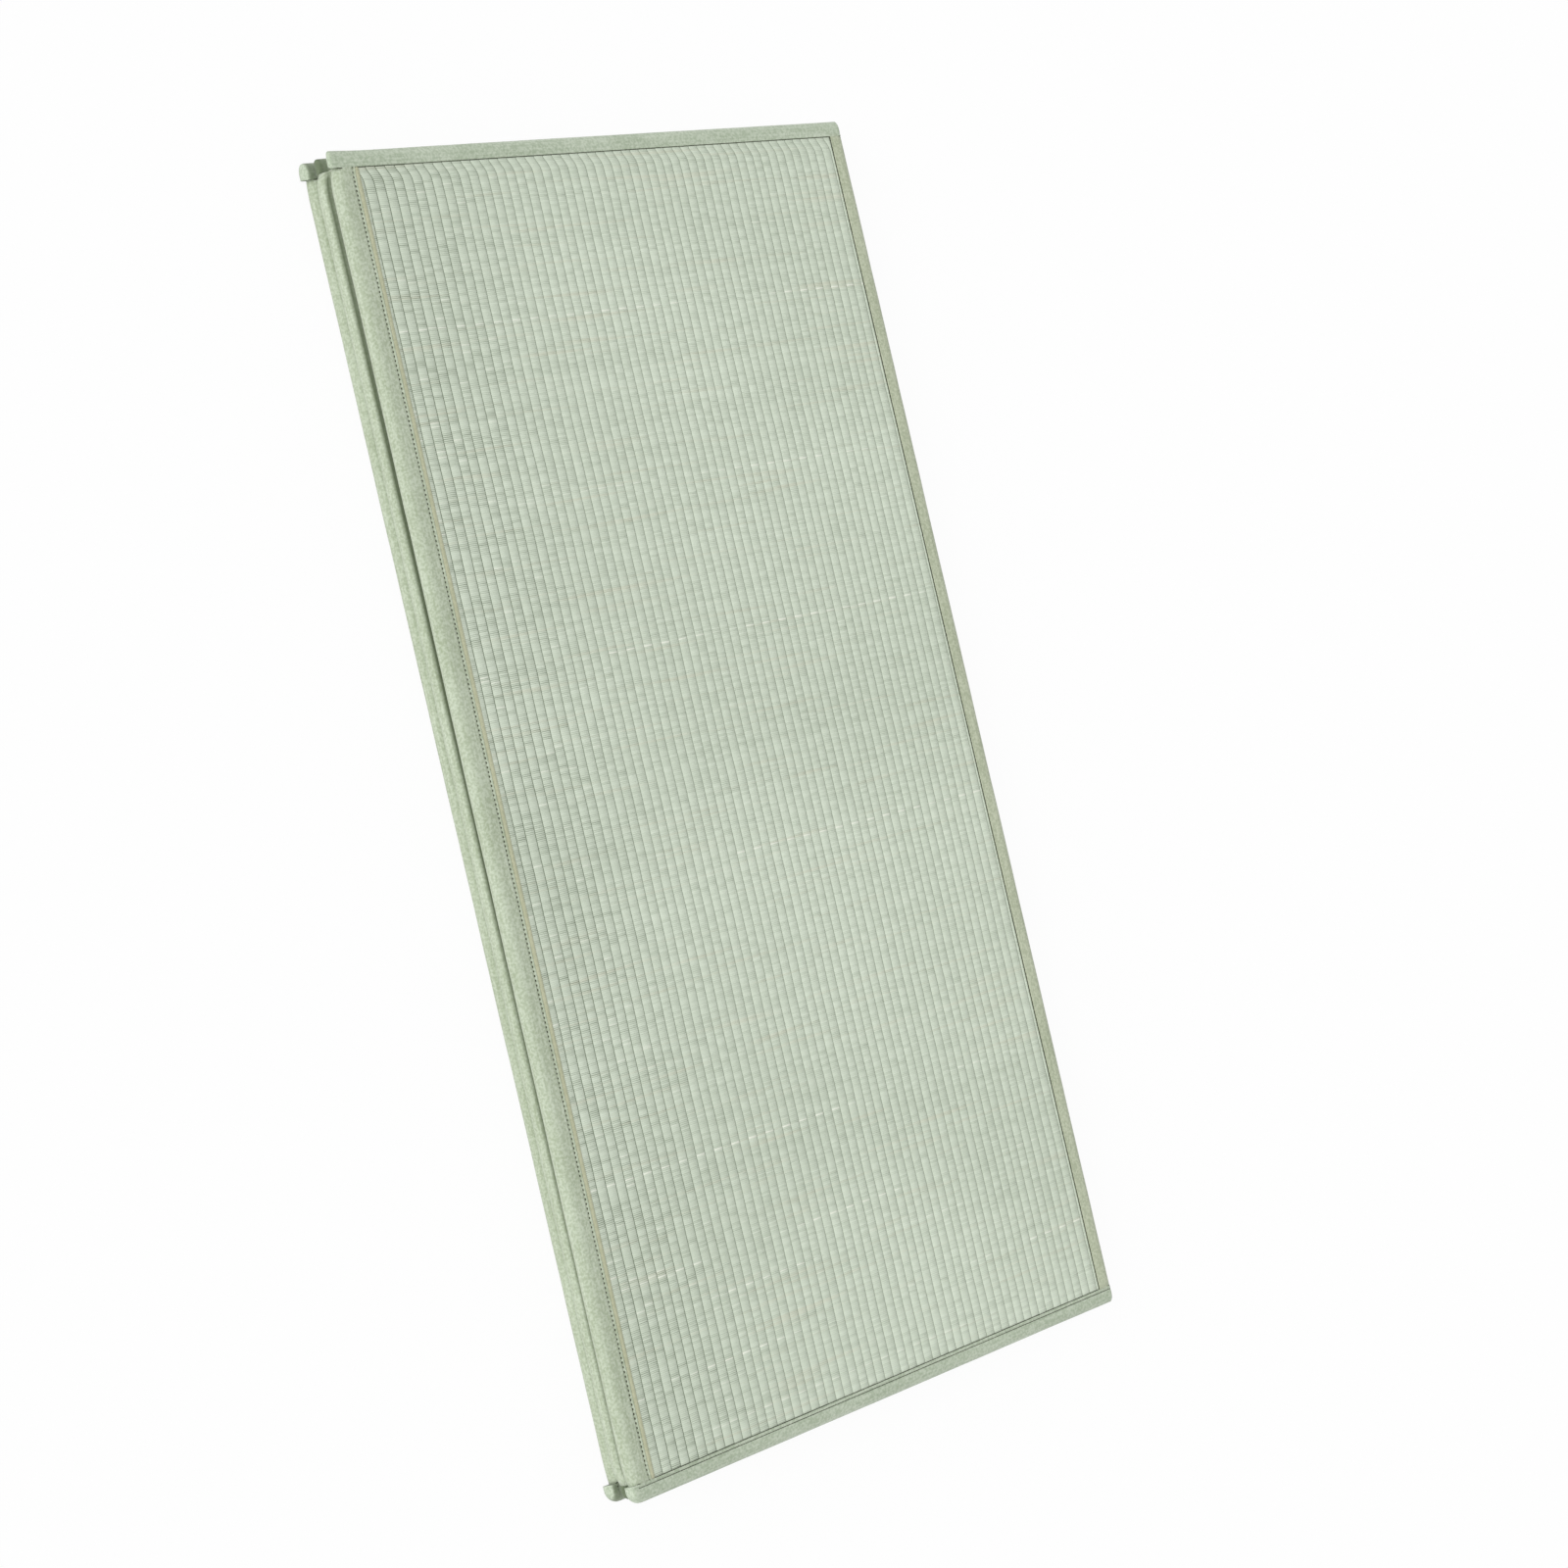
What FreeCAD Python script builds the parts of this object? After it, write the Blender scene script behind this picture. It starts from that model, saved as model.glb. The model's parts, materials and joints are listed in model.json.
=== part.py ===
import FreeCAD, Part
import os

# A floor mattress of three padded panels, faced with woven rush and folded up in a Z.
# Panel 3 lies on the floor, panel 2 is folded back onto it, and panel 1 lies on top.
# Millimetres. X runs across the folded panels, Y along them to the head end, Z up.
# The origin is the middle of the underside, where the stack stands on the floor.

# --- Driving dimensions -----------------------------------------------------------------
PANEL_WIDTH = 700.0
PANEL_LENGTH = 1400.0

# Layers of one panel, from its rush face to its back
TAPE = 0.8
RUSH = 1.8
LINING = 0.4
FELT = 5.0
FOAM = 9.2
BACKING = 0.8

EDGE_RADIUS = 7.0
CORNER_RADIUS = 9.0

# Widths of the binding tapes, measured in from the panel's edge
HEAD_TAPE_WIDTH = 19.0
FOOT_TAPE_WIDTH = 20.0
FREE_TAPE_WIDTH = 22.0
FOLD_TAPE_WIDTH = 30.0
BACK_RETURN_WIDTH = 14.0

# Warp yarns that the rush stalks are woven on
WARP_PITCH = 11.8
WARP_WIDTH = 1.0
WARP_DEPTH = 0.6

# Sewing thread of the seams: how far it lies inside each tape's inner edge
THREAD_WIDTH = 0.9
THREAD_DEPTH = 0.4
END_SEAM_INSET = 3.6
FOLD_SEAM_INSET = 5.5

# Air between two folded panels, and from a long edge to the axis that it folds about
STACK_GAP = 0.3
FOLD_GAP = 0.3
CLEAR = 1.0

# --- Worked out from them ---------------------------------------------------------------
PADDING = RUSH + LINING + FELT + FOAM + BACKING
PANEL_THICKNESS = PADDING + 2 * TAPE
STACK_PITCH = PANEL_THICKNESS + STACK_GAP
HALF_WIDTH = PANEL_WIDTH / 2
HALF_LENGTH = PANEL_LENGTH / 2
MID_Z = PANEL_THICKNESS / 2

# Where panel 1, 2 and 3 lie in the stack, and whether the rush face looks up
PANELS = {
    1: {"level": 2, "rush_up": True},
    2: {"level": 1, "rush_up": False},
    3: {"level": 0, "rush_up": True},
}
# The tape on each long edge. Names on -X and +X, with the width on the rush face.
LONG_EDGES = {
    1: (("fold_tape_outer", FOLD_TAPE_WIDTH), ("side_tape", FREE_TAPE_WIDTH)),
    2: (("fold_tape_outer", FOLD_TAPE_WIDTH), ("fold_tape_inner", FOLD_TAPE_WIDTH)),
    3: (("side_tape", FREE_TAPE_WIDTH), ("fold_tape_inner", FOLD_TAPE_WIDTH)),
}


def block(x0, x1, y0, y1, z0, z1):
    """A box between two corners."""
    return Part.makeBox(x1 - x0, y1 - y0, z1 - z0, FreeCAD.Vector(x0, y0, z0))


def soft_slab(inset):
    """One panel's outline, inset all round: upright corners and all long edges rounded.
    It lies with its back at z = 0 and its rush face up."""
    slab = block(
        -HALF_WIDTH + inset,
        HALF_WIDTH - inset,
        -HALF_LENGTH + inset,
        HALF_LENGTH - inset,
        inset,
        PANEL_THICKNESS - inset,
    )
    upright = [e for e in slab.Edges if abs(e.tangentAt(e.FirstParameter).z) > 0.5]
    slab = slab.makeFillet(CORNER_RADIUS - inset, upright)
    level = [e for e in slab.Edges if e.BoundBox.ZLength < 1e-6]
    return slab.makeFillet(EDGE_RADIUS - inset, level)


def layer(padding, depth, thickness):
    """The slice of the padding from depth below its rush face, thickness thick."""
    top = PANEL_THICKNESS - TAPE - depth
    reach = HALF_LENGTH + CLEAR
    return padding.common(block(-reach, reach, -reach, reach, top - thickness, top))


def end_zone(y0, y1):
    """The zone that an end tape covers, over the panel's full width and both faces."""
    reach = HALF_WIDTH + CLEAR
    return block(-reach, reach, y0, y1, -CLEAR, PANEL_THICKNESS + CLEAR)


def long_zone(side, width, y0, y1):
    """The zone that a long edge's tape covers: wide on the rush face, narrow on the back."""
    outside = side * (HALF_WIDTH + CLEAR)
    on_rush = side * (HALF_WIDTH - width)
    on_back = side * (HALF_WIDTH - BACK_RETURN_WIDTH)
    upper = block(*sorted((outside, on_rush)), y0, y1, MID_Z, PANEL_THICKNESS + CLEAR)
    lower = block(*sorted((outside, on_back)), y0, y1, -CLEAR, MID_Z)
    return upper.fuse(lower).removeSplitter()


def seam_across(y, z0, z1):
    """A thread along an end tape, right across the panel."""
    reach = HALF_WIDTH - EDGE_RADIUS - THREAD_WIDTH
    return block(-reach, reach, y - THREAD_WIDTH / 2, y + THREAD_WIDTH / 2, z0, z1)


def seam_along(x, y0, y1, z0, z1):
    """A thread along a fold tape, between the end tapes."""
    return block(x - THREAD_WIDTH / 2, x + THREAD_WIDTH / 2, y0, y1, z0, z1)


def seams(number, foot_y, head_y):
    """The threads of one panel, each let into its tape's face so that it lies flush."""
    top = (PANEL_THICKNESS - THREAD_DEPTH, PANEL_THICKNESS)
    back = (0.0, THREAD_DEPTH)
    threads = []
    for face in (top, back):
        threads.append(seam_across(head_y + END_SEAM_INSET, *face))
        threads.append(seam_across(foot_y - END_SEAM_INSET, *face))
    for side, (name, width) in zip((-1, 1), LONG_EDGES[number]):
        if name.startswith("fold"):
            x = side * (HALF_WIDTH - width + FOLD_SEAM_INSET)
            threads.append(seam_along(x, foot_y + CLEAR, head_y - CLEAR, *top))
    return Part.makeCompound(threads)


def warp_yarns():
    """The yarns under the rush stalks, a pitch apart, stopping inside the end tapes."""
    half_run = PANEL_WIDTH / 2 - EDGE_RADIUS - WARP_PITCH
    count = int(2 * half_run / WARP_PITCH) + 1
    bottom = PANEL_THICKNESS - TAPE - RUSH
    end = HALF_LENGTH - EDGE_RADIUS - CLEAR
    yarns = []
    for i in range(count):
        x = (i - (count - 1) / 2) * WARP_PITCH
        half = WARP_WIDTH / 2
        yarns.append(block(x - half, x + half, -end, end, bottom, bottom + WARP_DEPTH))
    return Part.makeCompound(yarns)


def panel_pieces(number):
    """Every piece of one panel, lying with its back at z = 0 and its rush face up."""
    outer = soft_slab(0.0)
    padding = soft_slab(TAPE)
    skin = outer.cut(padding)
    head_y = HALF_LENGTH - HEAD_TAPE_WIDTH
    foot_y = -HALF_LENGTH + FOOT_TAPE_WIDTH
    threads = seams(number, foot_y, head_y)
    yarns = warp_yarns()

    rush = layer(padding, 0.0, RUSH)
    pieces = {
        "rush_facing": rush.cut(yarns),
        "warp_yarns": yarns,
        "lining_cloth": layer(padding, RUSH, LINING),
        "felt_pad": layer(padding, RUSH + LINING, FELT),
        "foam_core": layer(padding, RUSH + LINING + FELT, FOAM),
        "backing_cloth": layer(padding, PADDING - BACKING, BACKING),
        "head_tape": skin.common(end_zone(head_y, HALF_LENGTH + CLEAR)).cut(threads),
        "foot_tape": skin.common(end_zone(-HALF_LENGTH - CLEAR, foot_y)).cut(threads),
        "seam_thread": threads,
    }
    for side, (name, width) in zip((-1, 1), LONG_EDGES[number]):
        tape = skin.common(long_zone(side, width, foot_y, head_y))
        pieces[name] = tape.cut(threads)
    return pieces


def place(shape, level, rush_up):
    """Lays a panel's piece in the stack. A panel folded back has its rush face down."""
    placed = shape.copy()
    if not rush_up:
        middle = FreeCAD.Vector(0, 0, MID_Z)
        mirrored = placed.mirror(middle, FreeCAD.Vector(0, 0, 1))
        placed = mirrored
    placed.translate(FreeCAD.Vector(0, 0, level * STACK_PITCH))
    return placed


def main():
    os.makedirs("parts", exist_ok=True)
    print("panel thickness", round(PANEL_THICKNESS, 3), "stack pitch", round(STACK_PITCH, 3))
    for number, where in PANELS.items():
        for name, shape in panel_pieces(number).items():
            placed = place(shape, where["level"], where["rush_up"])
            node = f"{name}_{number}"
            placed.exportStep(f"parts/{node}.step")
            print(node, len(placed.Solids), round(placed.Volume / 1000, 1), "cm3")
    print("fold axes at x", HALF_WIDTH + FOLD_GAP)
    for name, level in (("outer_fold", 2), ("inner_fold", 1)):
        print(name, "axis z", level * STACK_PITCH - STACK_GAP / 2)


main()
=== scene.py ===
# %% [markdown]
# # A folding rush floor mattress
# Three thin padded panels, faced with woven rush and bound with cotton tape, lie folded up in a Z.
# The construction comes packed, as a fixed frame of solids. This lesson makes what the eye sees:
# the woven stalks, the soft bound edges, the fold between two panels and the sewing.
# Lengths are metres, X runs across the panels, Y along them to the head end, and Z is up.

# %% Load the frame
import json
import math

import bmesh
import bpy
import numpy as np
from mathutils import Matrix, Vector


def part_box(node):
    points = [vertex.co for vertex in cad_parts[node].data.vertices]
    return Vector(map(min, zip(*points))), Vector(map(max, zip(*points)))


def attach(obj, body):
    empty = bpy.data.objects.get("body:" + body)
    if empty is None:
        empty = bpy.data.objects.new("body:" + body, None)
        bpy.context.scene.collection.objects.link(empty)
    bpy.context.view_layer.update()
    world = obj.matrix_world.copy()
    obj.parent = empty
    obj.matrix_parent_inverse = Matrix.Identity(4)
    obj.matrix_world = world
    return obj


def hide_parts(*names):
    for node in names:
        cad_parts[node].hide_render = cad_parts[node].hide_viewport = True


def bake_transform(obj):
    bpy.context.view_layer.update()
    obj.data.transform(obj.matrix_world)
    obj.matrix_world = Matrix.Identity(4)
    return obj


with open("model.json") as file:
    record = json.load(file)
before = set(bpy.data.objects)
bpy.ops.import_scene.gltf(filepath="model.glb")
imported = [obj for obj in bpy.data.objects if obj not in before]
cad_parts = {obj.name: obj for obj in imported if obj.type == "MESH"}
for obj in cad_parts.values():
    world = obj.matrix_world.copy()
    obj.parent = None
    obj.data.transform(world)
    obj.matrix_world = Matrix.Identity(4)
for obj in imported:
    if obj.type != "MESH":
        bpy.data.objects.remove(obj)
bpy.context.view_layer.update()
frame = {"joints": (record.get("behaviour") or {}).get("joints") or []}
MM = 0.001

# %% [markdown]
# Every panel is the same thing in another place. Panel 2 is folded back, so it has its rush face
# down. A small class keeps that in one spot: a piece is drawn once, with `h` counted from the
# panel's back (0) to its rush face (`thick`), and `place` puts it where its panel lies.

# %% The three panels
TAPE_THICK = 0.8 * MM


class Panel:
    """One panel's place, read from the frame."""

    def __init__(self, number):
        self.number = number
        self.body = f"panel_{number}"
        self.low, self.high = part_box(self.node("head_tape"))
        self.low.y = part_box(self.node("foot_tape"))[0].y
        self.thick = self.high.z - self.low.z
        self.rush_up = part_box(self.node("rush_facing"))[1].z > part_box(self.node("foam_core"))[1].z
        self.left, self.right = self.low.x, self.high.x
        self.foot, self.head = self.low.y, self.high.y

    def node(self, name):
        return f"{name}_{self.number}"

    def place(self, points):
        """Points (x, y, h) of this panel, in the row frame."""
        placed = np.array(points, float)
        h = placed[:, 2].copy()
        placed[:, 2] = self.low.z + h if self.rush_up else self.high.z - h
        return placed


panels = {n: Panel(n) for n in (1, 2, 3)}
for panel in panels.values():
    print(panel.body, "thick", round(panel.thick / MM, 2), "rush up", panel.rush_up)

# %% [markdown]
# ## Writing materials as expressions
# A finish is easier to read as sums and products than as a list of links. `Field` wraps one output
# socket and turns `+ - * /` into Math nodes. The same class serves Geometry Nodes, where a socket
# is a field too. Any other node comes from one method that takes its type, settings and inputs.


# %% A socket that can be reckoned with
class Field:
    """One output socket, in a material or in a geometry tree."""

    def __init__(self, tree, socket):
        self.tree = tree
        self.socket = socket

    def node(self, kind, settings=None, inputs=None, output=0):
        return add_node(self.tree, kind, settings, inputs, output)

    def math(self, operation, other=0.0):
        return self.node("ShaderNodeMath", {"operation": operation}, {0: self, 1: other})

    def __add__(self, other):
        return self.math("ADD", other)

    def __mul__(self, other):
        return self.math("MULTIPLY", other)

    def __sub__(self, other):
        return self.math("SUBTRACT", other)

    def __rsub__(self, other):
        return self.math("MULTIPLY", -1.0) + other

    def __truediv__(self, other):
        return self.math("DIVIDE", other)

    def __mod__(self, other):
        return self.math("FLOORED_MODULO", other)

    def __abs__(self):
        return self.math("ABSOLUTE")

    __radd__ = __add__
    __rmul__ = __mul__

    def floor(self):
        return self.math("FLOOR")

    def between(self, low, high):
        """0 below low, 1 above high, and smooth in between."""
        ranges = {"From Min": low, "From Max": high}
        settings = {"interpolation_type": "SMOOTHSTEP"}
        return self.node("ShaderNodeMapRange", settings, {"Value": self, **ranges})


def add_node(tree, kind, settings=None, inputs=None, output=0):
    """Adds a node: its settings first, then the values or links of its sockets."""
    node = tree.nodes.new(kind)
    for name, value in (settings or {}).items():
        setattr(node, name, value)
    for name, value in (inputs or {}).items():
        socket = node.inputs[name]
        if isinstance(value, Field):
            tree.links.new(value.socket, socket)
        else:
            socket.default_value = value
    return Field(tree, node.outputs[output]) if len(node.outputs) else node


# %% [markdown]
# Colours are written as they are seen on a screen and turned into the linear values that a shader
# works in. `Finish` holds one material: it hands out coordinates and textures, mixes colours, and
# closes with a Principled shader. Cloth, rush and yarn are all matt, so they share that ending.


# %% Colours and finishes
def seen(red, green, blue):
    """A screen colour, 0 to 255 a channel, as linear RGBA."""
    channels = [c / 255 for c in (red, green, blue)]
    linear = [c / 12.92 if c <= 0.04045 else ((c + 0.055) / 1.055) ** 2.4 for c in channels]
    return (*linear, 1.0)


class Finish:
    """A material whose nodes are added one by one."""

    def __init__(self, name):
        self.material = bpy.data.materials.new(name)
        self.material.use_nodes = True
        self.tree = self.material.node_tree
        self.tree.nodes.clear()
        place = add_node(self.tree, "ShaderNodeTexCoord")
        self.place = Field(self.tree, place.socket.node.outputs["Object"])

    def stretched(self, x, y, z):
        """Object coordinates, scaled along each axis."""
        inputs = {"Vector": self.place, "Scale": (x, y, z)}
        return self.place.node("ShaderNodeMapping", None, inputs)

    def noise(self, vector, scale, detail=2.0, roughness=0.5):
        sizes = {"Scale": scale, "Detail": detail, "Roughness": roughness}
        return self.place.node("ShaderNodeTexNoise", None, {"Vector": vector, **sizes})

    def split(self):
        """X, Y and Z of the object coordinates."""
        parts = self.place.node("ShaderNodeSeparateXYZ", None, {"Vector": self.place})
        return [Field(self.tree, s) for s in parts.socket.node.outputs]

    def attribute(self, name):
        found = self.place.node("ShaderNodeAttribute", {"attribute_name": name})
        return Field(self.tree, found.socket.node.outputs["Fac"])

    def mix(self, factor, a, b):
        """Colour a at factor 0 and colour b at factor 1."""
        inputs = {"Factor": factor, 6: a, 7: b}
        return self.place.node("ShaderNodeMix", {"data_type": "RGBA"}, inputs, output=2)

    def bump(self, height, distance, strength=1.0):
        inputs = {"Height": height, "Distance": distance, "Strength": strength}
        return self.place.node("ShaderNodeBump", None, inputs)

    def close(self, colour, roughness, normal=None, sheen=0.0):
        """The Principled shader that every finish here ends in."""
        inputs = {"Base Color": colour, "Roughness": roughness, "Sheen Weight": sheen}
        if normal is not None:
            inputs["Normal"] = normal
        shader = self.place.node("ShaderNodeBsdfPrincipled", None, inputs)
        self.place.node("ShaderNodeOutputMaterial", None, {"Surface": shader})
        return self.material


# %% [markdown]
# ## The finishes
# ** Rush** is a dried stalk: pale green, a little glossy along its length, and no two alike. The
# weave gives every stalk its own number in an attribute, and the colour is looked up by it. Most
# stalks differ only slightly, a few are bleached nearly white and a few are straw coloured. A slow
# noise along X lets a stalk fade to straw, as it does from root to tip. Towards the outer fold the
# finish has more contrast: painted shade darkens its furrows and painted highlights pale its dashes.


# %% Woven rush
STALK_DEEP = seen(184, 195, 176)
STALK_PALE = seen(218, 228, 211)
# Bleached stalks, and the painted highlights near the outer fold
STALK_WHITE_AND_HIGHLIGHT = seen(232, 236, 222)
STALK_STRAW = seen(204, 203, 182)
# The colour of the painted shade in the furrows, at the sides and ends of the dashes
PAINTED_FURROW_SHADE = seen(112, 124, 102)


def rush_finish():
    finish = Finish("woven rush")
    tone, own, clump = [finish.attribute(name) for name in ("tone", "own", "clump")]
    across, beside = abs(finish.attribute("along")), abs(finish.attribute("beside"))
    x = finish.split()[0]
    # Painted light: 1 towards the outer fold, where the finish paints darker furrows and more pale
    # dashes
    painted_light_at_fold = 1.0 - x.between(-0.33, -0.1)
    fade = finish.noise(finish.stretched(5.0, 150.0, 1.0), 1.0, 2.0)
    patch = finish.noise(finish.stretched(2.2, 3.4, 1.0), 1.0, 1.0)
    pale = tone * 0.22 + own * 0.18 + clump * 0.1 + patch.between(0.3, 0.7) * 0.2 + 0.2
    colour = finish.mix(pale - painted_light_at_fold * 0.06, STALK_DEEP, STALK_PALE)
    colour = finish.mix(fade.between(0.56, 0.74) * 0.4, colour, STALK_STRAW)
    # Bleached stalks and dashes at random, and near the outer fold more pale dashes as painted
    # highlights
    white = tone.between(0.986, 0.989) * fade.between(0.46, 0.55)
    white = white + own.between(0.985, 0.992) * (0.1 + 0.6 * painted_light_at_fold)
    colour = finish.mix(white * 0.8, colour, STALK_WHITE_AND_HIGHLIGHT)
    # Painted shade: the sides of many dashes and the ends of all of them turn to the furrow colour,
    # more so near the outer fold
    lines = (1.0 - own.between(0.28, 0.34)) * (0.26 + 0.44 * painted_light_at_fold) + 0.05 + painted_light_at_fold * 0.12
    colour = finish.mix(beside.between(0.2, 0.46) * lines, colour, PAINTED_FURROW_SHADE)
    colour = finish.mix(across.between(0.44, 0.485) * (0.6 + 0.4 * painted_light_at_fold), colour, PAINTED_FURROW_SHADE)
    fibre = finish.noise(finish.stretched(60.0, 2600.0, 1.0), 1.0, 2.0)
    return finish.close(colour, 0.66 - 0.12 * tone, finish.bump(fibre, 0.00025, 0.5))


# %% [markdown]
# **Warp yarn** is the thin twisted cord that the stalks are woven on. It shows only as a dark line
# at the bottom of the furrow between two columns of stalks.


# %% Warp yarn
def yarn_finish():
    finish = Finish("warp yarn")
    twist = finish.noise(finish.stretched(900.0, 420.0, 1.0), 1.0, 1.0)
    colour = finish.mix(twist, seen(132, 146, 118), seen(160, 173, 148))
    return finish.close(colour, 0.85, finish.bump(twist, 0.0002))


# %% [markdown]
# ** Binding tape** is a soft plain-woven cotton tape, dyed a grey green. Close to, two sets of
# threads cross at half a millimetre; from further off the dye looks clouded. Two sine waves,
# multiplied, give the threads their relief, and three noises of different grain give the clouds,
# the streaks along the tape and the flecks. A marked attribute paints shade into the cloth where
# it dips into a fold and where an end tape lies in the shadow of the panel above.


# %% Cloth tapes
# The colour of painted shade, for cloth down in a fold's groove and end tapes in shadow
PAINTED_FOLD_SHADE = seen(80, 94, 62)
ALONG_Y = (420.0, 9.0, 420.0)
ALONG_X = (9.0, 420.0, 420.0)
NO_RUN = (14.0, 14.0, 14.0)


def cloth_finish(name, light, dark, thread=0.00055, relief=0.00012, run=NO_RUN):
    """A cloth of two close colours, with threads that far apart and streaks that run one way."""
    finish = Finish(name)
    x, y = finish.split()[:2]
    weave = (x * (math.tau / thread)).math("SINE") * (y * (math.tau / thread)).math("SINE")
    cloud = finish.noise(finish.stretched(14.0, 14.0, 14.0), 1.0, 4.0, 0.6)
    streak = finish.noise(finish.stretched(*run), 1.0, 3.0, 0.6)
    fleck = finish.noise(finish.stretched(380.0, 380.0, 380.0), 1.0, 2.0)
    amount = cloud.between(0.3, 0.72) * 0.2 + streak.between(0.3, 0.7) * 0.3
    amount = amount + fleck.between(0.36, 0.64) * 0.5
    colour = finish.mix(amount, dark, light)
    # Painted shade: where the marked attribute is set, the cloth turns to the fold shade colour
    colour = finish.mix(finish.attribute("painted_shade") * 0.85, colour, PAINTED_FOLD_SHADE)
    height = weave * 0.35 + fleck * 1.2
    return finish.close(colour, 0.88, finish.bump(height, relief), 0.25)


# %% [markdown]
# The rest of the finishes are plain cloths, foam and felt, most of them inside the panel.


# %% All finishes by name
finishes = {
    "rush": rush_finish(),
    "yarn": yarn_finish(),
    "tape": cloth_finish("binding tape", seen(196, 206, 186), seen(154, 166, 138), run=ALONG_Y),
    "end tape": cloth_finish("end tape", seen(199, 209, 190), seen(155, 170, 144), run=ALONG_X),
    "side tape": cloth_finish("side tape", seen(199, 206, 181), seen(160, 170, 141), run=ALONG_Y),
    "hem": cloth_finish("fold tape hem", seen(192, 194, 164), seen(172, 176, 144), run=ALONG_Y),
    # The thread is drawn dark with painted shade: the real thread is the tape's green, sunk in shaded
    # puckers. It also draws the painted shadow lines along the tapes' inner edges
    "thread": cloth_finish("thread in painted shade", seen(76, 82, 54), seen(44, 50, 30), 0.0004),
    "backing": cloth_finish("backing cloth", seen(206, 211, 196), seen(192, 198, 180), 0.0009),
    "lining": cloth_finish("lining cloth", seen(170, 182, 158), seen(150, 162, 138), 0.0012),
    "felt": cloth_finish("pressed felt", seen(234, 232, 224), seen(218, 215, 205), 0.003, 0.0004),
    "foam": cloth_finish("soft foam", seen(238, 233, 208), seen(226, 220, 190), 0.002, 0.0005),
}
print("finishes", ", ".join(finishes))

# %% [markdown]
# ## Making meshes
# Most pieces are strips swept along an edge. `mesh_piece` turns points and faces into an object at
# the origin with smooth faces. `wander` is a gentle irregular wave, the same each run, for edges
# that no machine keeps straight.


# %% Mesh helpers
def in_scene(name, data):
    """A new object at the origin, linked to the scene."""
    made = bpy.data.objects.new(name, data)
    bpy.context.scene.collection.objects.link(made)
    return made


def mesh_piece(name, points, faces, finish):
    mesh = bpy.data.meshes.new(name)
    mesh.from_pydata([tuple(p) for p in points], [], [tuple(f) for f in faces])
    mesh.materials.append(finishes[finish])
    mesh.shade_smooth()
    piece = in_scene(name, mesh)
    outward(mesh)
    return piece


def outward(mesh):
    """Turns a closed mesh's faces outwards."""
    work = bmesh.new()
    work.from_mesh(mesh)
    bmesh.ops.recalc_face_normals(work, faces=work.faces)
    work.to_mesh(mesh)
    work.free()


def points_of(mesh):
    """A mesh's points, one row each."""
    co = np.empty(len(mesh.vertices) * 3, np.float32)
    mesh.vertices.foreach_get("co", co)
    return co.reshape(-1, 3).astype(float)


def move_points(mesh, points):
    mesh.vertices.foreach_set("co", points.astype(np.float32).ravel())


def mark(mesh, label, values):
    """Stores a number for each point, for a finish to read."""
    mesh.attributes.new(label, "FLOAT", "POINT").data.foreach_set("value", values)


def ring_faces(rings, count):
    """The faces between rings of points, each ring count points round."""
    faces = []
    for i in range(rings - 1):
        a, b = i * count, (i + 1) * count
        for j in range(count):
            k = (j + 1) % count
            faces.append((a + j, a + k, b + k, b + j))
    return faces


def wander(s, seed, size, waves=(0.9, 0.37, 0.17, 0.071)):
    """A smooth irregular wave along s, about size high."""
    draw = np.random.default_rng(seed)
    total = np.zeros_like(np.asarray(s, float))
    for wave in waves:
        total += np.sin(math.tau * (s / wave + draw.random())) * wave**0.5
    return total * size / sum(w**0.5 for w in waves)


def smooth(t):
    """0 below 0, 1 above 1, and smooth in between."""
    t = np.clip(t, 0, 1)
    return t * t * (3 - 2 * t)


# %% [markdown]
# ## The soft edge of a panel
# A bound edge is a roll: the tape turns over soft foam, so its section is a flattened half circle
# and not a corner. A superellipse of power 2.1 has that look. `edge_section` lists the tape's
# outer line from its inner edge on the rush face, round the roll, to its inner edge on the back,
# and then the same line one tape thickness further in, which closes it into a real thin cloth.

# %% The section of a binding
ROLL_DEPTH = 11 * MM
ROLL_POWER = 2.1
ROLL_STEPS = 14
FLAT_STEPS = 24
BACK_STEPS = 4
SEAM_DIP = 0.8 * MM
SEAM_SPREAD = 1.3 * MM
EDGE_DOWN = 0.35 * MM


def roll_line(thick, depth, inset):
    """The roll's line, as distances in from the edge and heights from the back."""
    angles = np.linspace(0, math.pi, ROLL_STEPS + 1)
    share = 2 / ROLL_POWER
    half = thick / 2 - inset
    reach = depth - inset
    d = inset + reach * (1 - np.sin(angles) ** share)
    h = thick / 2 + half * np.sign(np.cos(angles)) * np.abs(np.cos(angles)) ** share
    return d, h


def edge_section(thick, width, back_width, seam=None, dip=SEAM_DIP):
    """The closed section of a tape round an edge. Its face dips along the seam."""
    past_roll = ROLL_DEPTH + 1 * MM
    flat_out = np.linspace(width, past_roll, FLAT_STEPS)
    flat_back = np.linspace(past_roll, back_width, BACK_STEPS)
    lines = []
    for inset in (0.0, TAPE_THICK):
        d, h = roll_line(thick, ROLL_DEPTH, inset)
        top = np.full(len(flat_out), thick - inset)
        if seam:
            top -= dip * np.exp(-(((flat_out - seam) / SEAM_SPREAD) ** 2))
        top[0] -= EDGE_DOWN
        d = np.concatenate([flat_out, d, flat_back])
        h = np.concatenate([top, h, np.full(len(flat_back), inset)])
        lines.append(np.stack([d, h], axis=1))
    return np.concatenate([lines[0], lines[1][::-1]])


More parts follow.
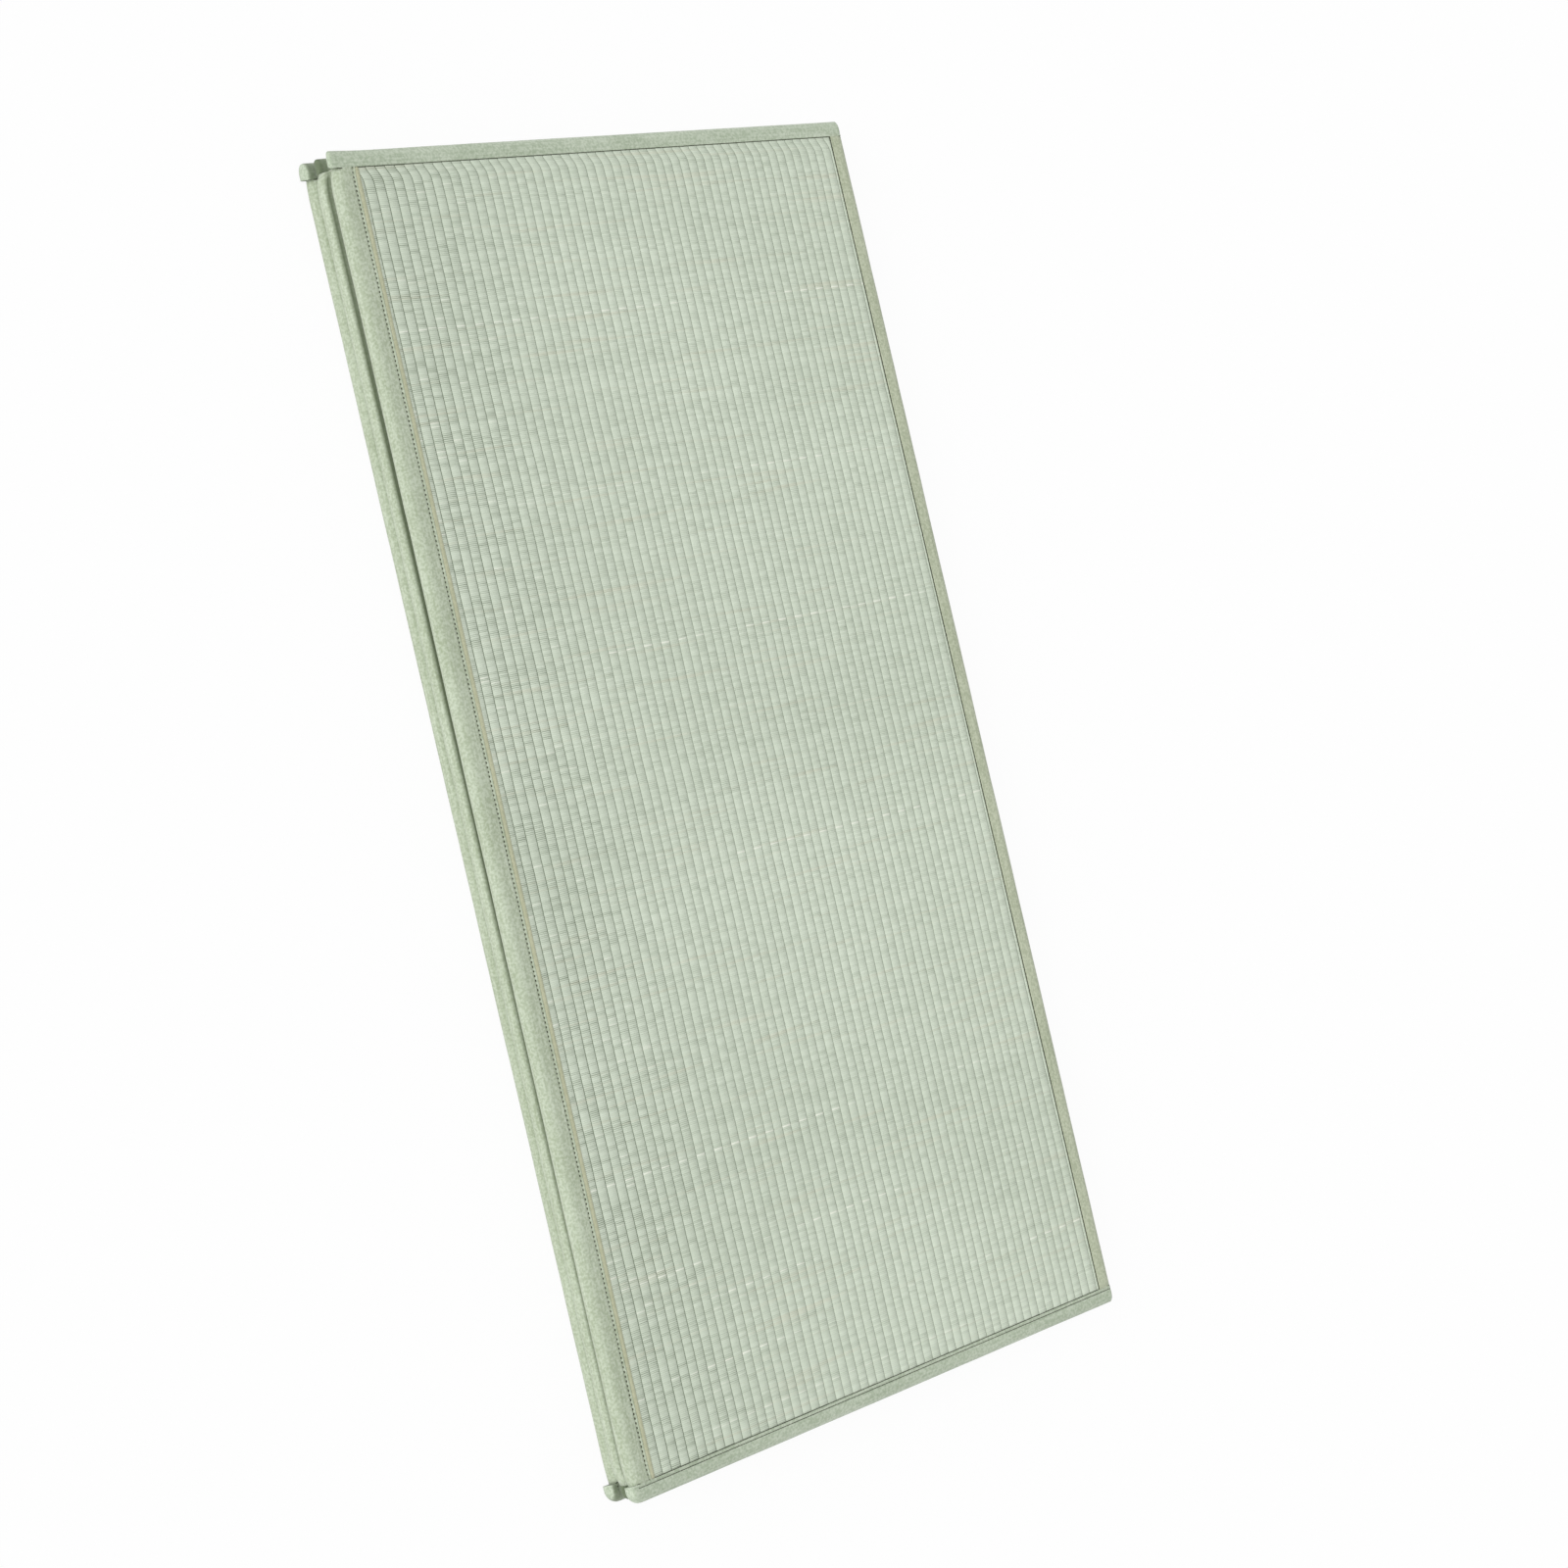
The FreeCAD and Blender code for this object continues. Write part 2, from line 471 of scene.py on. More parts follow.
def sweep(stations, section_at):
    """Points and faces of a closed section carried along stations, with both ends closed."""
    rings = [section_at(s) for s in stations]
    count = len(rings[0])
    faces = ring_faces(len(rings), count)
    # The section is a folded strip, so an end closes with one face between each pair of its points
    half = count // 2
    for start in (0, (len(rings) - 1) * count):
        for j in range(half - 1):
            faces.append((start + j, start + j + 1, start + count - 2 - j, start + count - 1 - j))
    return np.concatenate(rings), faces


# %% [markdown]
# ## Tapes along the sides
# A side tape is that section carried along Y between the two end tapes. Near its ends the edge
# draws in: the end tape is sewn across it and pulls the soft corner round. How far it draws in
# differs from panel to panel, so it is an input.

# %% Side tapes
STATION = 7 * MM
BACK_WIDTH = 14 * MM
FREE_WIDTH = 21 * MM
FOLD_WIDTH = 24.5 * MM
FOLD_SEAM = 21.5 * MM
CORNER_RUN = 34 * MM
CORNER_FROM = 12 * MM
UNDER_END_TAPE = 2 * MM
FREE_SIDES = ((1, 1), (3, -1))
FREE_DRAWN = {1: 0.0, 3: 3 * MM}
SET_BACK = {
    (1, -1): (5 * MM, -2.5 * MM),
    (2, -1): (-0.5 * MM, -1 * MM),
    (3, -1): (0.0, 2.5 * MM),
}


def corner_draw(panel, y, amount):
    """How far the edge is drawn in, near the two ends of a panel."""
    near = np.minimum(panel.head - y, y - panel.foot) - CORNER_FROM
    t = np.clip(1 - near / CORNER_RUN, 0, 1)
    return amount * (1 - np.sqrt(1 - t**2 * 0.999))


def set_back(panel, side, y):
    """How far an edge lies back from the frame's, since the stack wasn't folded quite square.
    SET_BACK gives it at the head and at the foot, by panel and side."""
    at_head, at_foot = SET_BACK.get((panel.number, side), (0.0, 0.0))
    return at_foot + (at_head - at_foot) * (y - panel.foot) / (panel.head - panel.foot)


def side_points(panel, side, width, seam, drawn, seed):
    """A function from y to a ring of points, for one long edge."""
    section = edge_section(panel.thick, width, BACK_WIDTH, seam)
    edge = panel.left if side < 0 else panel.right

    def ring(y):
        inset = corner_draw(panel, y, drawn) + abs(wander(y, seed, 0.5 * MM))
        inner = (section[:, 0] / width) ** 2
        d = section[:, 0] + inset * np.clip(1.2 - inner, 0, 1) + set_back(panel, side, y)
        puff = wander(y + section[:, 0] * 9, seed + 1, 0.2 * MM)
        h = section[:, 1] - abs(puff) * (section[:, 1] > panel.thick / 2)
        x = edge - side * d
        return panel.place(np.stack([x, np.full(len(d), y), h], axis=1))

    return ring


def side_stations(panel):
    foot_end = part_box(panel.node("foot_tape"))[1].y
    head_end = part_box(panel.node("head_tape"))[0].y
    steps = round((head_end - foot_end) / STATION)
    return np.linspace(foot_end - UNDER_END_TAPE, head_end + UNDER_END_TAPE, steps)


def free_side_tape(panel, side):
    drawn = FREE_DRAWN[panel.number]
    ring = side_points(panel, side, FREE_WIDTH, None, drawn, 40 + panel.number)
    points, faces = sweep(side_stations(panel), ring)
    finish = "side tape" if panel.number == 1 else "tape"
    tape = mesh_piece(f"side_binding_{panel.number}", points, faces, finish)
    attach(tape, panel.body)
    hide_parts(panel.node("side_tape"))
    return tape


for number, side in FREE_SIDES:
    made = free_side_tape(panels[number], side)
    print(made.name, len(made.data.polygons), "faces")

# %% [markdown]
# ## The fold
# At a fold one tape runs from panel to panel: over one rolled edge, down into the groove where the
# two panels meet, and out over the next roll. It's one mesh: each part of it lies on one panel or
# the other, and a narrow bridge crosses the groove between them, at the joint.

# %% Fold tapes
BRIDGE_IN = 5.0 * MM
BRIDGE_HALF = 0.2 * MM
# How much painted shade the outer and inner fold tapes get in their grooves
OUTER_PAINTED_SHADE = 1.0
INNER_PAINTED_SHADE = 0.25
DRAWN_IN = {1: 9 * MM, 2: 12 * MM, 3: 3 * MM}
JOINTS = {j["name"]: j for j in frame["joints"]}


def bridge(upper, lower, side, axis):
    """The strip of cloth in the groove, between two panels' rolls."""
    stations = side_stations(upper)
    rows = []
    for panel in (upper, lower):
        drawn = corner_draw(panel, stations, DRAWN_IN[panel.number])
        edge = panel.left if side < 0 else panel.right
        x = edge - side * (BRIDGE_IN + drawn + set_back(panel, side, stations))
        level = axis.z + (BRIDGE_HALF if panel is upper else -BRIDGE_HALF)
        rows.append(np.stack([x, stations, np.full(len(stations), level)], axis=1))
    count = len(stations)
    faces = [(i, i + 1, count + i + 1, count + i) for i in range(count - 1)]
    return np.concatenate(rows), faces


def shade_fold(tape, axis, amount):
    """Marks painted shade on a fold tape: the further into the groove a point lies, the darker."""
    co = points_of(tape.data)
    inward = (abs(axis.x) - abs(co[:, 0])) / MM
    near = 1 - smooth((abs(co[:, 2] - axis.z) / MM - 0.5) / 3.2)
    inside = smooth((inward - 0.6) / 3.4) * (1 - smooth((inward - 8) / 3))
    mark(tape.data, "painted_shade", near * inside * amount)


def fold_tape(name, joint, upper, lower, side):
    axis = Vector(JOINTS[joint]["pos_m"])
    points, faces = bridge(upper, lower, side, axis)
    for panel in (upper, lower):
        seed = 10 * panel.number + (1 if side < 0 else 2)
        ring = side_points(panel, side, FOLD_WIDTH, FOLD_SEAM, DRAWN_IN[panel.number], seed)
        more, more_faces = sweep(side_stations(panel), ring)
        faces += [tuple(i + len(points) for i in f) for f in more_faces]
        points = np.concatenate([points, more])
    tape = mesh_piece(name, points, faces, "tape")
    shade_fold(tape, axis, OUTER_PAINTED_SHADE if side < 0 else INNER_PAINTED_SHADE)
    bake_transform(tape)
    node = "fold_tape_outer" if side < 0 else "fold_tape_inner"
    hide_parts(upper.node(node), lower.node(node))
    return tape


fold_tapes = [
    fold_tape("outer_fold_tape", "outer_fold", panels[1], panels[2], -1),
    fold_tape("inner_fold_tape", "inner_fold", panels[2], panels[3], 1),
]
for made in fold_tapes:
    print(made.name, len(made.data.polygons), "faces")

# %% [markdown]
# Beside the fold tape's seam a narrow paler hem shows, where the tape's raw edge is turned under
# and stands out past the stitches.

# %% The hem beside a fold seam
HEM_FROM = 23.5 * MM
HEM_TO = 30.0 * MM


def fold_hem(panel, side):
    edge = panel.left if side < 0 else panel.right
    top = panel.thick - 0.5 * MM
    under = top - 1.1 * MM
    rounded = HEM_TO - 0.8 * MM
    upper_line = [(HEM_FROM, top), (rounded, top - 0.1 * MM), (HEM_TO, top - 0.6 * MM)]
    section = np.array(upper_line + [(HEM_TO, under), (rounded, under), (HEM_FROM, under)])

    def ring(y):
        d = section[:, 0] + wander(y, 70 + panel.number, 0.35 * MM) + set_back(panel, side, y)
        return panel.place(np.stack([edge - side * d, np.full(len(d), y), section[:, 1]], axis=1))

    points, faces = sweep(side_stations(panel), ring)
    word = "outer" if side < 0 else "inner"
    hem = mesh_piece(f"{word}_fold_hem_{panel.number}", points, faces, "hem")
    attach(hem, panel.body)
    return hem


for number, side in ((1, -1), (2, -1), (2, 1), (3, 1)):
    made = fold_hem(panels[number], side)
    print(made.name, len(made.data.polygons), "faces")

# %% [markdown]
# ## Tapes across the ends
# The head and foot tapes go round the ends of the panels, over the side tapes. There's no foam in
# the last two centimetres, so near the outer fold some of them are drawn up to half the height.
# Panel 3's are full there, because the tape's own end is folded in and stands out as a small box.
# Their open ends would show at the corners, so each end tape is a closed form, filled like the
# end of the panel that it wraps.

# %% End tapes
END_STEP = 5 * MM
THIN_RUN = 45 * MM
END_SHADE_RUN = 30 * MM
RIGHT_CUT = 4 * MM
CORNER_ROUND = {"head": 3 * MM, "foot": 11 * MM}
END_WIDTH = {"head": 19 * MM, "foot": 20 * MM}
END_SEAM = {"head": 16.2 * MM, "foot": 16.4 * MM}
# By panel and end: how far the tape reaches past the panel's left side, and its height there
END_REACH = {
    (1, "head"): -3 * MM,
    (1, "foot"): 2 * MM,
    (2, "head"): -6 * MM,
    (2, "foot"): -6 * MM,
    (3, "head"): 3 * MM,
    (3, "foot"): 2 * MM,
}
END_THIN = {(1, "head"): 0.5, (2, "head"): 0.5, (2, "foot"): 0.5}
# How much painted shade darkens each panel's end tapes near the outer fold, where the panel above
# shades them
END_PAINTED_SHADE = {1: 0.0, 2: 1.0, 3: 0.9}


def end_stations(panel, left):
    """Places across the panel, closer together at the two ends."""
    right = panel.right - RIGHT_CUT
    middle = np.linspace(left + 12 * MM, right - 6 * MM, round((right - left) / END_STEP))
    near = left + np.array([0.0, 0.4, 1.2, 2.5, 4.5, 7.5]) * MM
    far = right - np.array([3.5, 1.6, 0.6, 0.0]) * MM
    return np.concatenate([near, middle, far])


def end_section(thick, width, seam):
    """The outer line of an end tape, closed along its open side: the panel's end fills it."""
    section = edge_section(thick, width, width - 3 * MM, seam, 0.45 * MM)
    return section[: len(section) // 2]


def end_tape(panel, end):
    width = END_WIDTH[end]
    section = end_section(panel.thick, width, END_SEAM[end])
    edge, way = (panel.head, -1) if end == "head" else (panel.foot, 1)
    left = panel.left - END_REACH[panel.number, end]
    seed = 90 + panel.number * 2 + (end == "head")
    rounding = CORNER_ROUND[end]
    back = section[:, 1] < panel.thick / 2

    lost = 1 - END_THIN.get((panel.number, end), 1.0)

    def ring(x):
        from_left, from_right = x - left, panel.right - RIGHT_CUT - x
        thin = 1 - lost * (1 - smooth(from_left / THIN_RUN))
        turn = 1 - np.clip(from_left / (4 * MM), 0, 1)
        turn = max(turn, 1 - np.clip(from_right / (1.5 * MM), 0, 1))
        squeeze = 1 - 0.5 * (1 - math.sqrt(1 - turn**2 * 0.98))
        corner = 1 - np.clip(from_left / rounding, 0, 1)
        inset = rounding * (1 - math.sqrt(1 - corner**2 * 0.98)) * 0.9
        h = panel.thick - (panel.thick - section[:, 1]) * thin
        keep = panel.thick * (1 - thin * 0.3)
        h = keep + (h - keep) * squeeze
        d = section[:, 0] + inset * np.clip(1 - section[:, 0] / width, 0, 1)
        d = d + abs(wander(x, seed, 0.3 * MM)) * (section[:, 0] < width / 2)
        d = np.where(back & (thin < 1), np.minimum(d, width), d)
        y = edge + way * d
        return panel.place(np.stack([np.full(len(d), x), y, h], axis=1))

    rings = [ring(x) for x in end_stations(panel, left)]
    count = len(section)
    last = (len(rings) - 1) * count
    faces = ring_faces(len(rings), count)
    faces += [tuple(range(count)), tuple(range(last, last + count))]
    tape = mesh_piece(f"{end}_binding_{panel.number}", np.concatenate(rings), faces, "end tape")
    x = points_of(tape.data)[:, 0]
    # Painted shade near the fold end, fading over three centimetres; on panel 3 it starts a little
    # in, so the tape's end face stays lit
    end_shade = 1 - smooth((x - left) / END_SHADE_RUN)
    if panel.number == 3:
        end_shade *= smooth((x - left) / (3 * MM) - 0.2)
    mark(tape.data, "painted_shade", END_PAINTED_SHADE[panel.number] * end_shade)
    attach(tape, panel.body)
    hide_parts(panel.node(f"{end}_tape"))
    return tape


for panel in panels.values():
    for end in ("head", "foot"):
        made = end_tape(panel, end)
        print(made.name, len(made.data.polygons), "faces")

# %% [markdown]
# ## The woven rush
# The facing is a plain weave: each stalk goes over one space between two warp yarns and under the
# next, so on the surface it's a row of short dashes, and the next stalk fills the gaps. Tens of
# thousands of dashes are a job for Geometry Nodes. The tree numbers a cloud of points, turns each
# number into a column and a row, moves the point there, and puts one low dash on it. Every stalk
# gets a random tone from its row, so its dashes match all the way across. The dash brings two
# numbers of its own, how far along it and how far beside its ridge a point lies. The finish
# paints shade into the furrows by them, at the sides and ends of each dash.

# %% One dash of a stalk
DASH_FLAT = 0.468


def dash_shape():
    """A low roof with its ends drawn down, one unit long, wide and high."""
    points = [(-0.5, -0.5, 0), (0.5, -0.5, 0), (0.5, 0.5, 0), (-0.5, 0.5, 0)]
    points += [(-DASH_FLAT, 0, 1), (DASH_FLAT, 0, 1)]
    faces = [(0, 1, 5, 4), (2, 3, 4, 5), (1, 2, 5), (3, 0, 4)]
    mesh = bpy.data.meshes.new("dash")
    mesh.from_pydata(points, [], faces)
    for label, axis in (("along", 0), ("beside", 1)):
        mark(mesh, label, [p[axis] for p in points])
    return in_scene("dash", mesh)


# %% The weaving tree
def new_tree(name, sockets):
    """An empty geometry tree with named inputs, and a dictionary of them as fields."""
    tree = bpy.data.node_groups.new(name, "GeometryNodeTree")
    for label, kind in sockets.items():
        tree.interface.new_socket(label, in_out="INPUT", socket_type=kind)
    tree.interface.new_socket("Geometry", in_out="OUTPUT", socket_type="NodeSocketGeometry")
    given = tree.nodes.new("NodeGroupInput")
    return tree, {label: Field(tree, given.outputs[label]) for label in sockets}


def end_tree(tree, geometry):
    out = tree.nodes.new("NodeGroupOutput")
    tree.links.new(geometry.socket, out.inputs["Geometry"])


def vector(tree, x=0.0, y=0.0, z=0.0):
    return add_node(tree, "ShaderNodeCombineXYZ", None, {"X": x, "Y": y, "Z": z})


def shape_of(tree, thing):
    """The geometry of the object that an input names."""
    kind = "GeometryNodeObjectInfo"
    return add_node(tree, kind, None, {"Object": thing}, output="Geometry")


def end_real(tree, placed, finish, rounded=True):
    """Ends a tree with real geometry in its finish, because an export drops instances."""
    made = add_node(tree, "GeometryNodeRealizeInstances", None, {"Geometry": placed})
    if rounded:
        made = add_node(tree, "GeometryNodeSetShadeSmooth", None, {"Geometry": made})
    inputs = {"Geometry": made, "Material": finish}
    end_tree(tree, add_node(tree, "GeometryNodeSetMaterial", None, inputs))


def weaving_tree():
    kinds = {
        "Columns": "NodeSocketInt",
        "First column": "NodeSocketInt",
        "Dashes": "NodeSocketInt",
        "Warp pitch": "NodeSocketFloat",
        "Stalk pitch": "NodeSocketFloat",
        "Relief": "NodeSocketFloat",
        "Seed": "NodeSocketInt",
        "Dash": "NodeSocketObject",
        "Finish": "NodeSocketMaterial",
    }
    tree, given = new_tree("woven rush", kinds)
    number = add_node(tree, "GeometryNodeInputIndex")
    column = number % given["Columns"] + given["First column"]
    along = (number / given["Columns"]).floor()
    row = along * 2 + column % 2
    x = (column + 0.5) * given["Warp pitch"]
    y = row * given["Stalk pitch"]
    spot = vector(tree, x, y)
    count = given["Columns"] * given["Dashes"]
    cloud = add_node(tree, "GeometryNodePoints", None, {"Count": count, "Position": spot})

    def draw(key, seed):
        seeds = {"ID": key, "Seed": given["Seed"] + seed}
        return add_node(tree, "FunctionNodeRandomValue", {"data_type": "FLOAT"}, seeds, output=1)

    few = (along / 3).floor() * 2 + column % 2
    numbers = {"tone": draw(row, 0), "own": draw(number, 1), "clump": draw(few * 997 + column, 6)}
    for label, value in numbers.items():
        inputs = {"Geometry": cloud, "Name": label, "Value": value}
        cloud = add_node(tree, "GeometryNodeStoreNamedAttribute", None, inputs)
    breadth = given["Stalk pitch"] * (1.9 + 0.5 * draw(row, 2))
    height = given["Relief"] * (0.62 + 0.38 * draw(row, 3) + 0.25 * draw(number, 4))
    size = vector(tree, given["Warp pitch"], breadth, height)
    angle = vector(tree, z=(draw(number, 5) - 0.5) * 0.03)
    shape = shape_of(tree, given["Dash"])
    inputs = {"Points": cloud, "Instance": shape, "Scale": size, "Rotation": angle}
    placed = add_node(tree, "GeometryNodeInstanceOnPoints", None, inputs)
    end_real(tree, placed, given["Finish"])
    return tree


def grown(name, tree, values, base=None):
    """Runs a geometry tree on a new object and returns its result as a plain mesh object."""
    base = base or bpy.data.meshes.new("seed of " + name)
    seed = in_scene("seed", base)
    modifier = seed.modifiers.new("nodes", "NODES")
    modifier.node_group = tree
    for item in tree.interface.items_tree:
        if item.in_out == "INPUT" and item.name in values:
            modifier[item.identifier] = values[item.name]
    graph = bpy.context.evaluated_depsgraph_get()
    mesh = bpy.data.meshes.new_from_object(seed.evaluated_get(graph))
    bpy.data.objects.remove(seed)
    mesh.name = name
    return in_scene(name, mesh)


# %% [markdown]
# The tree weaves flat. Then each half is laid on its panel: the face is a little crowned, the
# stalks run slightly uneven, and just under the head tape the warp lines lean towards the fold,
# where the sewing pulled them. A panel's facing is made as two halves of 28 columns, which keeps
# each mesh light.

# %% Weave and lay the facings
WARP_PITCH = 11.8 * MM
STALK_PITCH = 1.0 * MM
RELIEF = 0.5 * MM
FACE_DEPTH = 1.15 * MM
UNDER_TAPE = 4 * MM
CROWN = 0.45 * MM
CROWN_RUN = 45 * MM
LEAN = 6.5 * MM
LEAN_RUN = 22 * MM


def crown(panel, x, y):
    """How far the face stands above a flat one: nothing at the bindings, a little in the middle."""
    from_side = np.minimum(x - panel.left, panel.right - x) - FREE_WIDTH
    from_end = np.minimum(y - panel.foot, panel.head - y) - FREE_WIDTH
    rise = smooth(from_side / CROWN_RUN) * smooth(from_end / CROWN_RUN)
    waves = wander(x * 1.7 + y * 0.6, panel.number, 0.25 * MM)
    waves = waves + wander(y - x * 0.4, panel.number + 5, 0.2 * MM)
    return CROWN * rise + waves * rise


def lay_on_face(panel, piece, depth):
    """Moves a flat woven mesh onto the panel's rush face, depth below the tapes."""
    x, y, z = points_of(piece.data).T
    lean = smooth(1 - (panel.head - END_WIDTH["head"] - y) / LEAN_RUN)
    slack = wander(x, panel.number + 21, 0.7 * MM)
    bowed = x + wander(y, panel.number + 31, 0.9 * MM) - LEAN * lean**2
    h = panel.thick - depth + z + crown(panel, x, y)
    move_points(piece.data, panel.place(np.stack([bowed, y + slack, h], axis=1)))
    if not panel.rush_up:
        piece.data.flip_normals()
    piece.data.update()


weave = weaving_tree()
dash = dash_shape()
face_low = panels[1].foot + END_WIDTH["foot"] - UNDER_TAPE
face_high = panels[1].head - END_WIDTH["head"] + UNDER_TAPE
face_wide = panels[1].right - panels[1].left - FREE_WIDTH - HEM_TO + 2 * UNDER_TAPE
columns = int(face_wide / WARP_PITCH) + 1
dashes = int((face_high - face_low) / (2 * STALK_PITCH))
face_left = panels[1].left + HEM_TO - UNDER_TAPE
print("weave:", columns, "columns of", dashes, "dashes")


def rush_half(panel, half):
    first = 0 if half == "fold_side" else columns // 2
    many = columns // 2 if half == "fold_side" else columns - columns // 2
    values = {
        "Columns": many,
        "First column": first,
        "Dashes": dashes,
        "Warp pitch": WARP_PITCH,
        "Stalk pitch": STALK_PITCH,
        "Relief": RELIEF,
        "Seed": 7 * panel.number,
        "Dash": dash,
        "Finish": finishes["rush"],
    }
    piece = grown(f"rush_{half}_{panel.number}", weave, values)
    piece.data.transform(Matrix.Translation((face_left, face_low, 0)))
    lay_on_face(panel, piece, FACE_DEPTH + RELIEF)
    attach(piece, panel.body)
    return piece


for panel in panels.values():
    halves = [rush_half(panel, half) for half in ("fold_side", "free_side")]
    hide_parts(panel.node("rush_facing"))
    print(halves[0].name, len(halves[0].data.polygons), "faces")
bpy.data.objects.remove(dash)

# %% [markdown]
# The warp yarns lie in the furrows. One short tree makes them: a line of points across the panel,
# one for each furrow, with a long narrow strip on each, cut into steps so that it can follow the
# face as the stalks do.


# %% Warp yarns
YARN_BREADTH = 2.2 * MM
YARN_STEPS = 180
YARN_DEPTH = FACE_DEPTH + 0.55 * MM


def yarn_tree():
    kinds = {
        "Yarns": "NodeSocketInt",
        "Pitch": "NodeSocketFloat",
        "Length": "NodeSocketFloat",
        "Breadth": "NodeSocketFloat",
        "Steps": "NodeSocketInt",
        "Finish": "NodeSocketMaterial",
    }
    tree, given = new_tree("warp yarns", kinds)
    number = add_node(tree, "GeometryNodeInputIndex")
    spot = vector(tree, number * given["Pitch"], given["Length"] * 0.5)
    row = add_node(tree, "GeometryNodePoints", None, {"Count": given["Yarns"], "Position": spot})
    sizes = {"Size X": given["Breadth"], "Size Y": given["Length"]}
    steps = {"Vertices X": 2, "Vertices Y": given["Steps"]}
    strip = add_node(tree, "GeometryNodeMeshGrid", None, {**sizes, **steps})
    inputs = {"Points": row, "Instance": strip}
    placed = add_node(tree, "GeometryNodeInstanceOnPoints", None, inputs)
    end_real(tree, placed, given["Finish"], rounded=False)
    return tree


yarn_rows = yarn_tree()
for panel in panels.values():
    values = {
        "Yarns": columns + 1,
        "Pitch": WARP_PITCH,
        "Length": face_high - face_low,
        "Breadth": YARN_BREADTH,
        "Steps": YARN_STEPS,
        "Finish": finishes["yarn"],
    }
    yarns = grown(f"warp_{panel.number}", yarn_rows, values)
    yarns.data.transform(Matrix.Translation((face_left, face_low, 0)))
    lay_on_face(panel, yarns, YARN_DEPTH)
    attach(yarns, panel.body)
    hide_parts(panel.node("warp_yarns"))
print("yarns", columns + 1, "a panel")

# %% [markdown]
# ## What lies inside
# Under the rush come a thin lining, a pressed felt pad and a sheet of soft foam, and a backing
# cloth closes the panel. The pads stop short of the end tapes and have soft rounded edges. Each is
# a closed form made by one function: a rounded slab whose faces swell a little.


# %% Pads and cloths
# Each layer's node, its margins at the sides and at the ends, and how much its faces swell
LAYERS = {
    "felt": ("felt_pad", 16 * MM, 22 * MM, -0.2 * MM),
    "foam": ("foam_core", 13 * MM, 22 * MM, -0.1 * MM),
    "lining": ("lining_cloth", 16 * MM, 18 * MM, 0.0),
    "backing": ("backing_cloth", 12 * MM, 16 * MM, 0.0),
}
SWELL_RUN = 60 * MM


def slab(panel, layer):
    """A soft slab in a layer's place, with rounded edges and slightly swollen faces."""
    node, side_in, end_in, swell = LAYERS[layer]
    low, high = layer_heights(panel, node)
    half = (high - low) / 2
    xs = np.linspace(panel.left + side_in, panel.right - side_in, 60)
    ys = np.linspace(panel.foot + end_in, panel.head - end_in, 110)
    gx, gy = np.meshgrid(xs, ys)
    near = np.minimum(np.minimum(gx - xs[0], xs[-1] - gx), np.minimum(gy - ys[0], ys[-1] - gy))
    round_off = np.sqrt(np.clip(1 - (1 - np.clip(near / (half * 1.5), 0, 1)) ** 2, 0, 1))
    bulge = half * (0.25 + 0.75 * round_off) + swell * smooth(near / SWELL_RUN)
    middle = (low + high) / 2
    count = gx.size
    top = np.stack([gx.ravel(), gy.ravel(), (middle + bulge).ravel()], axis=1)
    under = np.stack([gx.ravel(), gy.ravel(), (middle - bulge).ravel()], axis=1)
    index = np.arange(count).reshape(gx.shape)
    faces = [
        (index[i, j], index[i, j + 1], index[i + 1, j + 1], index[i + 1, j])
        for i in range(len(ys) - 1)
        for j in range(len(xs) - 1)
    ]
    faces += [tuple(k + count for k in f[::-1]) for f in faces]
    rim = [*index[0, :-1], *index[:-1, -1], *index[-1, :0:-1], *index[:0:-1, 0]]
    faces += [(a, a + count, b + count, b) for a, b in zip(rim, rim[1:] + rim[:1])]
    points = panel.place(np.concatenate([top, under]))
    piece = mesh_piece(f"{layer}_{panel.number}", points, faces, layer)
    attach(piece, panel.body)
    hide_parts(panel.node(node))
    return piece


def layer_heights(panel, node):
    """A layer's lowest and highest h, from its node's box."""
    low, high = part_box(panel.node(node))
    if panel.rush_up:
        return low.z - panel.low.z, high.z - panel.low.z
    return panel.high.z - high.z, panel.high.z - low.z


for panel in panels.values():
    felt = slab(panel, "felt")
    foam = slab(panel, "foam")
    lining = slab(panel, "lining")
    backing = slab(panel, "backing")
print("pads and cloths made")

# %% [markdown]
# ## Sewing
# A lockstitch is a row of short threads that dip into the cloth at both ends. A geometry tree
# carries one small rounded stitch along any line: the line is resampled to the stitch pitch, and
# the stitch is turned to follow it.


# %% One stitch and its tree
def stitch_shape():
    """A thread one unit long along X, rounded, with its ends turned down."""
    around, along = 6, 5
    points = []
    for i in range(along):
        t = i / (along - 1)
        middle = (t - 0.5, 0, -0.9 * (2 * t - 1) ** 4)
        size = 0.5 * (1 - 0.55 * (2 * t - 1) ** 4)
        for j in range(around):
            a = math.tau * j / around
            points.append((middle[0], size * math.cos(a), middle[2] + size * math.sin(a)))
    faces = ring_faces(along, around)
    faces += [tuple(range(around))[::-1], tuple(range((along - 1) * around, along * around))]
    mesh = bpy.data.meshes.new("stitch")
    mesh.from_pydata(points, [], faces)
    outward(mesh)
    return in_scene("stitch", mesh)


